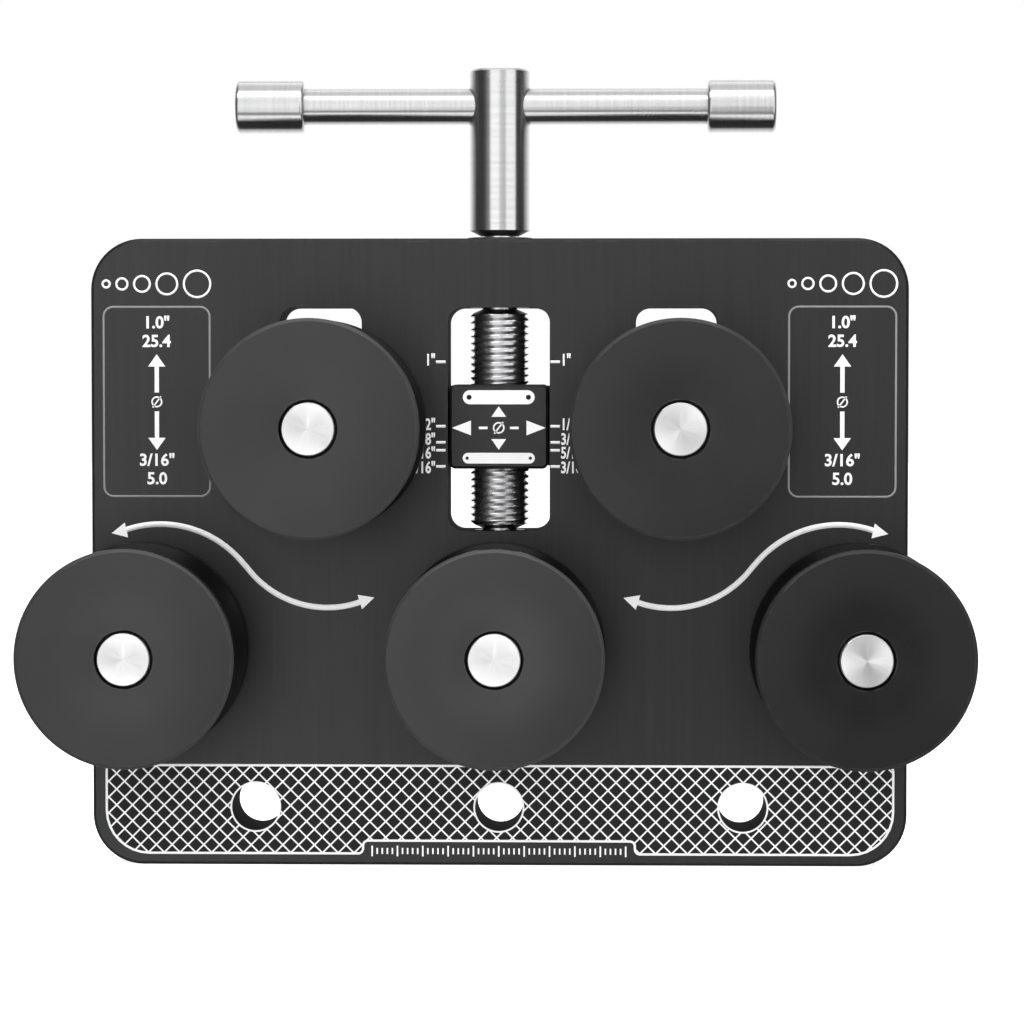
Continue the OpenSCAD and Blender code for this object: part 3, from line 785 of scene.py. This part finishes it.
def etchedLineTree():
    inputs = {"Width": "Float", "Height": "Float", "Material": "Material"}
    tree, given = geometryTree("etchedLine", inputs)
    route = addNode(tree, "GeometryNodeMeshToCurve", {"Mesh": given["Geometry"]})["Curve"]
    upright = addNode(tree, "GeometryNodeSetCurveNormal", {"Curve": route}, mode="Z_UP")["Curve"]
    size = {"Width": given["Width"], "Height": given["Height"]}
    section = addNode(tree, "GeometryNodeCurvePrimitiveQuadrilateral", size)["Curve"]
    sweep = addNode(tree, "GeometryNodeCurveToMesh", {
        "Curve": upright, "Profile Curve": section, "Fill Caps": True})
    return endTree(tree, sweep["Mesh"], given["Material"])


def tickRowTree():
    floats = ("Pitch", "Width", "Short", "Long", "Height")
    kinds = {"Count": "Int", "Every": "Int", "Material": "Material"}
    tree, given = geometryTree("tickRow", {**{label: "Float" for label in floats}, **kinds})
    step = joined(tree, given["Pitch"], 0, 0)
    row = addNode(tree, "GeometryNodeMeshLine", {"Count": given["Count"], "Offset": step})["Mesh"]
    order = maths(tree, "MODULO", read(tree, "GeometryNodeInputIndex", "Index"), given["Every"])
    extra = maths(tree, "SUBTRACT", given["Long"], given["Short"])
    reach = maths(tree, "MULTIPLY_ADD", maths(tree, "LESS_THAN", order, 0.5), extra, given["Short"])
    block = addNode(tree, "GeometryNodeMeshCube", {"Size": (1, 1, 1)})["Mesh"]
    size = joined(tree, given["Width"], reach, given["Height"])
    stamp = addNode(tree, "GeometryNodeInstanceOnPoints", {"Points": row, "Instance": block, "Scale": size})
    return endTree(tree, stamp["Instances"], given["Material"])


etching = {
    "thickness": 0.04,   # mm, half of it outside the face
    "capital": 0.73, "bolder": 0.035,   # a capital's share of the text's size, and what is added to it
    "smoothness": 3, "cornerSteps": 8,
    "sign": {"slant": (0.6, 0.8), "reach": 1.45, "line": 0.32, "steps": 32},   # in radii
}
etchedWhite = etchedFinish("etchedWhite")
etchedGrey = etchedFinish("etchedGrey")
etchedBlack = etchedFinish("etchedBlack")
lineTree = etchedLineTree()
plateFace = -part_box("base_plate")[0].y


def arcPoints(centre, radius, start, end, steps):
    angles = [start + (end - start) * k / steps for k in range(steps + 1)]
    return [(centre[0] + radius * math.cos(a), centre[1] + radius * math.sin(a)) for a in angles]


def circlePoints(centre, radius, steps):
    return arcPoints(centre, radius, 0, 2 * math.pi, steps)[:-1]


def drawLines(name, lines, width, share=1.0, material=etchedWhite):   # a line is (points, closed)
    vertices, edges = [], []
    for points, closed in lines:
        first = len(vertices)
        vertices += [(p[0] * mm, p[1] * mm, 0) for p in points]
        edges += [(first + i, first + i + 1) for i in range(len(points) - 1)]
        if closed:
            edges.append((len(vertices) - 1, first))
    mesh = bpy.data.meshes.new(name)
    mesh.from_pydata(vertices, edges, [])
    values = {"Width": width * mm, "Height": etching["thickness"] * share * mm, "Material": material}
    return growMesh(name, lineTree, values, mesh)


def curveMesh(curve):
    holder = bpy.data.objects.new("drawing", curve)
    scene.collection.objects.link(holder)
    evaluated = holder.evaluated_get(bpy.context.evaluated_depsgraph_get())
    mesh = bpy.data.meshes.new_from_object(evaluated)
    bpy.data.objects.remove(holder)
    bm = bmesh.new()
    bm.from_mesh(mesh)
    bmesh.ops.remove_doubles(bm, verts=bm.verts, dist=1e-6)
    bmesh.ops.recalc_face_normals(bm, faces=bm.faces)
    bm.to_mesh(mesh)
    bm.free()
    return mesh


def flatShape(outlines, share=1.0):   # closed plate of even thickness: outlines inside others are holes
    curve = bpy.data.curves.new("flatShape", "CURVE")
    curve.dimensions = "2D"
    curve.fill_mode = "BOTH"
    curve.extrude = etching["thickness"] * share / 2 * mm
    for outline in outlines:
        spline = curve.splines.new("POLY")
        spline.points.add(len(outline) - 1)
        for point, place in zip(spline.points, outline):
            point.co = (place[0] * mm, place[1] * mm, 0, 1)
        spline.use_cyclic_u = True
    return curveMesh(curve)


def numberShape(text, place, height, align, narrow=1.0):
    curve = bpy.data.curves.new("number", "FONT")
    curve.body = text
    curve.size = height / etching["capital"] * mm
    curve.align_x = align
    curve.align_y = "CENTER"
    curve.extrude = etching["thickness"] / 2 * mm
    curve.offset = etching["bolder"] * height * mm
    curve.resolution_u = etching["smoothness"]
    mesh = curveMesh(curve)
    move = Matrix.Translation((place[0] * mm, place[1] * mm, 0))
    mesh.transform(move @ Matrix.Diagonal((narrow, 1, 1, 1)))
    return mesh


def diameterSign(centre, radius):   # a ring with a slanted bar
    sign = etching["sign"]
    reach = Vector(sign["slant"]) * radius * sign["reach"]
    bar = [Vector(centre) - reach, Vector(centre) + reach]
    lines = [(circlePoints(centre, radius, sign["steps"]), True), (bar, False)]
    return drawLines("diameterSign", lines, radius * sign["line"])


def arrowHead(tip, along, size):   # triangle of (width, length) whose point is at the tip
    along = Vector(along).normalized()
    side = Vector((-along.y, along.x)) * size[0] / 2
    back = Vector(tip) - along * size[1]
    return [Vector(tip), back + side, back - side]


# Joins the drawn meshes, stands them up and lays them on the face at that depth
def setOnFace(name, meshes, material, faceDepth=plateFace, body="frame"):
    bm = bmesh.new()
    for mesh in meshes:
        bm.from_mesh(mesh)
    mesh = bpy.data.meshes.new(name)
    bm.to_mesh(mesh)
    bm.free()
    mesh.transform(Matrix.Translation((0, -faceDepth, 0)) @ Matrix.Rotation(math.radians(90), 4, "X"))
    for polygon in mesh.polygons:
        polygon.material_index = 0
    piece = addPiece(name, mesh, material)
    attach(piece, body)


bandForm = {   # mm
    "side": 77.5, "top": 8.2, "bottom": -9.2, "notchHalf": 26.8, "notchRise": 2.55,
    "cornerRadius": 8.4, "smallRadius": 1.0, "line": 0.46,
    "holes": (-48, 0, 48), "ring": 4.85, "ringSteps": 64, "ringLine": 0.34,
    "hatchPitch": 3.13, "crossing": (-0.41, 3.4), "hatchLine": 0.31, "hatchRows": 60, "shortest": 0.3,
    "heights": {"rising": 0.9, "falling": 0.8, "field": 0.4},   # shares of the etching's thickness
}


# Stretches of a line that lie inside the outlines, by the even-odd rule
def spansInside(origin, direction, outlines):
    hits = []
    for outline in outlines:
        for i, start in enumerate(outline):
            a = Vector(start) - origin
            b = Vector(outline[(i + 1) % len(outline)]) - origin
            sideA, sideB = direction.cross(a), direction.cross(b)
            if (sideA > 0) != (sideB > 0):
                hits.append(direction.dot(a.lerp(b, sideA / (sideA - sideB))))
    hits.sort()
    return [(origin + direction * s, origin + direction * e) for s, e in zip(hits[::2], hits[1::2])]


def bandOutline(band):
    half, notch = band["side"], band["notchHalf"]
    low, high, step = band["bottom"], band["top"], band["bottom"] + band["notchRise"]
    small, big = band["smallRadius"], band["cornerRadius"]
    corners = [(-half, high), (-half, low), (-notch, low), (-notch, step), (notch, step), (notch, low),
               (half, low), (half, high)]
    return roundedCorners(corners, [small, big] + [small] * 4 + [big, small], etching["cornerSteps"])


def hatchLines(band, outlines, side):
    direction = Vector((1, side)).normalized()
    spacing = Vector((-direction.y, direction.x)) * band["hatchPitch"] / math.sqrt(2)
    lines = []
    for k in range(-band["hatchRows"], band["hatchRows"] + 1):
        for start, end in spansInside(Vector(band["crossing"]) + spacing * k, direction, outlines):
            if (end - start).length > band["shortest"]:
                lines.append(((start, end), False))
    return lines


def makeBand(band):
    outline = bandOutline(band)
    rings = [circlePoints((x, 0), band["ring"], band["ringSteps"]) for x in band["holes"]]
    parts = [
        drawLines("bandEdging", [(outline, True)], band["line"]),
        drawLines("holeRings", [(ring, True) for ring in rings], band["ringLine"]),
    ]
    for name, side in (("rising", 1), ("falling", -1)):
        lines, height = hatchLines(band, [outline, *rings], side), band["heights"][name]
        parts.append(drawLines(name + "Hatch", lines, band["hatchLine"], height))
    setOnFace("hatchedBand", parts, etchedWhite)
    field = flatShape([outline, *rings], band["heights"]["field"])   # the cells between the lines
    setOnFace("bandField", [field], etchedBlack)


sizeFrames = {   # mm
    "centre": 67.25, "width": 20.9, "top": 98.5, "bottom": 61.3, "radius": 1.9, "line": 0.4,
    "tips": (89.2, 70.4), "shaftEnds": (81.7, 78.0), "shaft": 0.84, "head": (3.4, 2.4), "sign": 0.95,
    "rows": [(95.35, "1.0\""), (91.7, "25.4"), (68.35, "3/16\""), (64.7, "5.0")], "text": 2.4,
    "rings": {"z": 103.0, "radii": (0.7, 1.1, 1.55, 2.05, 2.6), "gap": 1.3, "line": 0.42, "steps": 40},
}


def sizeArrow(form, x, tip, start, way):   # way is 1 for up and -1 for down
    head = arrowHead((x, tip), (0, way), form["head"])
    neck, half = tip - way * form["head"][1], way * form["shaft"] / 2
    shaft = [(x - half, neck), (x - half, start), (x + half, start), (x + half, neck)]
    return flatShape([[head[0], head[1], *shaft, head[2]]])


def makeSizeFrames(form):
    rings, half = form["rings"], form["width"] / 2
    frames, ringLines, white = [], [], []
    for x in (-form["centre"], form["centre"]):
        corners = [(x - half, form["bottom"]), (x + half, form["bottom"]),
                   (x + half, form["top"]), (x - half, form["top"])]
        frames.append((roundedCorners(corners, [form["radius"]] * 4, etching["cornerSteps"]), True))
        for tip, start, way in zip(form["tips"], form["shaftEnds"], (1, -1)):
            white.append(sizeArrow(form, x, tip, start, way))
        for z, text in form["rows"]:
            white.append(numberShape(text, (x, z), form["text"], "CENTER"))
        white.append(diameterSign((x, sum(form["shaftEnds"]) / 2), form["sign"]))
        ringX = x - sum(rings["radii"]) - rings["gap"] * (len(rings["radii"]) - 1) / 2
        for radius in rings["radii"]:
            ringLines.append((circlePoints((ringX + radius, rings["z"]), radius, rings["steps"]), True))
            ringX += 2 * radius + rings["gap"]
    white.append(drawLines("sizeRings", ringLines, rings["line"]))
    framed = drawLines("sizeFrames", frames, form["line"], material=etchedGrey)
    setOnFace("sizeFrames", [framed], etchedGrey)
    setOnFace("sizeMarks", white, etchedWhite)


waves = {   # mm, for the left arrow; the right one is its mirror image
    "crest": (-66.63, 34.71), "crestRadius": 21.1, "trough": (-33.79, 59.21), "troughRadius": 19.8,
    "tips": ((-76.3, 54.0), (-24.5, 41.4)), "line": 1.1, "head": (3.0, 3.0), "inset": 2.4,
    "steps": 28, "height": 0.9,   # share of the etching's thickness
}


def bearing(start, end):
    return math.atan2(end[1] - start[1], end[0] - start[0])


def makeWaves(wave):
    crest, trough, tips = wave["crest"], wave["trough"], wave["tips"]
    bend = bearing(crest, trough)
    start = bearing(crest, tips[0]) - wave["inset"] / wave["crestRadius"]
    end = bearing(trough, tips[1]) % (2 * math.pi) - wave["inset"] / wave["troughRadius"]
    route = arcPoints(crest, wave["crestRadius"], start, bend, wave["steps"])[:-1]
    route += arcPoints(trough, wave["troughRadius"], bend + math.pi, end, wave["steps"])
    heads = [arrowHead(tip, Vector(tip) - Vector(last), wave["head"])
             for tip, last in ((tips[0], route[0]), (tips[1], route[-1]))]
    shapes, lines = [], []
    for flip in (1, -1):
        lines.append(([(flip * x, y) for x, y in route], False))
        shapes += [flatShape([[(flip * x, y) for x, y in head]]) for head in heads]
    shapes.append(drawLines("waves", lines, wave["line"], wave["height"]))
    setOnFace("waveArrows", shapes, etchedWhite)


gapScale = {   # mm
    "marks": [(87.71, "1", 0.3), (75.08, "1/2", 0.28), (71.92, "3/8", 0.55), (70.37, "5/16", -0.6),
              (67.19, "3/16", -0.3)],   # height, number, and how far the number is raised
    "inner": 10.3, "outer": 12.15, "shift": -0.15, "line": 0.54,
    "text": 2.3, "narrow": 0.74, "textGap": 0.15,
}
ruler = {"count": 51, "pitch": 1.0, "line": 0.3, "short": 1.2, "long": 2.1, "every": 5, "z": -8.7}   # mm


def makeScale(scale, ticks):
    shapes, lines = [], []
    for side, align in ((-1, "RIGHT"), (1, "LEFT")):
        inner, outer = (side * scale[end] + scale["shift"] for end in ("inner", "outer"))
        for z, text, raised in scale["marks"]:
            lines.append((((inner, z), (outer, z)), False))
            place = (outer + side * scale["textGap"], z + raised)
            shapes.append(numberShape(text + "\"", place, scale["text"], align, scale["narrow"]))
    shapes.append(drawLines("scaleMarks", lines, scale["line"]))
    row = growMesh("ruler", tickRowTree(), {
        "Count": ticks["count"], "Pitch": ticks["pitch"] * mm, "Width": ticks["line"] * mm,
        "Short": ticks["short"] * mm, "Long": ticks["long"] * mm,
        "Height": etching["thickness"] * mm, "Every": ticks["every"], "Material": etchedWhite})
    start = -(ticks["count"] - 1) * ticks["pitch"] / 2
    row.transform(Matrix.Translation((start * mm, ticks["z"] * mm, 0)))
    setOnFace("plateScale", shapes + [row], etchedWhite)


blockMarks = {   # mm, seen from the block's middle
    "pillTop": {"z": 5.78, "half": 7.05, "thick": 2.75, "hole": 0.45, "holeX": 5.82},
    "pillBottom": {"z": -6.17, "half": 7.08, "thick": 2.1, "hole": 0.33, "holeX": 6.2},
    "half": 1.45, "side": (5.45, 9.2), "up": (1.95, 4.0), "down": (-2.42, -4.52),   # base and tip
    "rowZ": -0.23, "sign": 1.0, "dash": (2.2, 3.9, 0.5), "dot": 1.1, "dotHeight": 1.2,
    "endSteps": 12, "holeSteps": 20,
}


def pillHoles(pill, share=1.0):
    return [circlePoints((x, pill["z"]), pill["hole"] * share, blockMarks["holeSteps"])
            for x in (-pill["holeX"], pill["holeX"])]


def pillOutlines(pill):
    r, quarter, steps = pill["thick"] / 2, math.pi / 2, blockMarks["endSteps"]
    ends = pill["half"] - r
    right = arcPoints((ends, pill["z"]), r, -quarter, quarter, steps)
    left = arcPoints((-ends, pill["z"]), r, quarter, 3 * quarter, steps)
    return [right + left, *pillHoles(pill)]


def makeBlockMarks(marks):
    z, half = marks["rowZ"], marks["half"]
    start, end, width = marks["dash"]
    shapes = [flatShape(pillOutlines(marks[name])) for name in ("pillTop", "pillBottom")]
    for side in (-1, 1):
        base, tip = (side * x for x in marks["side"])
        shapes.append(flatShape([[(tip, z), (base, z + half), (base, z - half)]]))
        shapes.append(flatShape([[(side * start, z - width / 2), (side * end, z - width / 2),
                                  (side * end, z + width / 2), (side * start, z + width / 2)]]))
    for base, tip in (marks["up"], marks["down"]):
        shapes.append(flatShape([[(0, tip), (-half, base), (half, base)]]))
    shapes.append(diameterSign((0, z), marks["sign"]))
    dots = [flatShape([hole], marks["dotHeight"]) for hole in pillHoles(marks["pillTop"], marks["dot"])]
    low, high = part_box("nut_block")
    for mesh in shapes + dots:
        mesh.transform(Matrix.Translation((0, (low.z + high.z) / 2, 0)))
    setOnFace("blockMarks", shapes, etchedWhite, -low.y, "carriage")
    setOnFace("blockDots", dots, etchedBlack, -low.y, "carriage")


makeBand(bandForm)
makeSizeFrames(sizeFrames)
makeWaves(waves)
makeScale(gapScale, ruler)
makeBlockMarks(blockMarks)
print("etched marks: band, size frames, waves, scale and block")

# Finishes of the CAD pieces

brushed = {   # stretch of the grain along each axis
    "plate": (2600, 2600, 45), "block": (900, 900, 900), "bar": (60, 2600, 2600),
}


def finishNodes(nodes, material):
    for node in nodes:
        for slot in cadNodes[node].material_slots:
            slot.link = "OBJECT"
            slot.material = material


def nodesEndingWith(*endings):
    return [name for name in cadNodes if name.endswith(endings)]


blockFinish = anodisedFinish("brushedBlock", brushed["block"])
barLow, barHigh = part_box("cross_bar")
barFinish = turnedSteel("barSteel", (barLow + barHigh) / 2, "X")
finishNodes(["base_plate"], anodisedFinish("brushedPlate", brushed["plate"]))
finishNodes(["nut_block", "left_slide", "right_slide"], blockFinish)
finishNodes(["carriage_bar"], anodisedFinish("brushedBar", brushed["bar"], False))
finishNodes(["handle_hub"], turnedSteel("hubSteel", uprightAxis("handle_hub"), "Z"))
finishNodes(["cross_bar", "left_bar_cap", "right_bar_cap"], barFinish)
for station, place in stationPlaces.items():
    steel = axleSteel(station + "AxleSteel", place, axleEnd["paintedLight"][station])
    finishNodes([station + "_axle"], steel)
bearingNodes = nodesEndingWith("outer_races", "_balls", "_shields", "_spacers")
finishNodes(bearingNodes, plainMetal("groundSteel"))
# the gap round an axle's end shows the inner races, and it looks black: they get a near-black steel as
# painted shade
finishNodes(nodesEndingWith("inner_races"), plainMetal("paintedShadeSteel"))
smallNodes = nodesEndingWith("_screws", "_set_screw", "_circlip", "_bush")
finishNodes(smallNodes, plainMetal("blackOxide"))
print("finishes set on the CAD pieces")
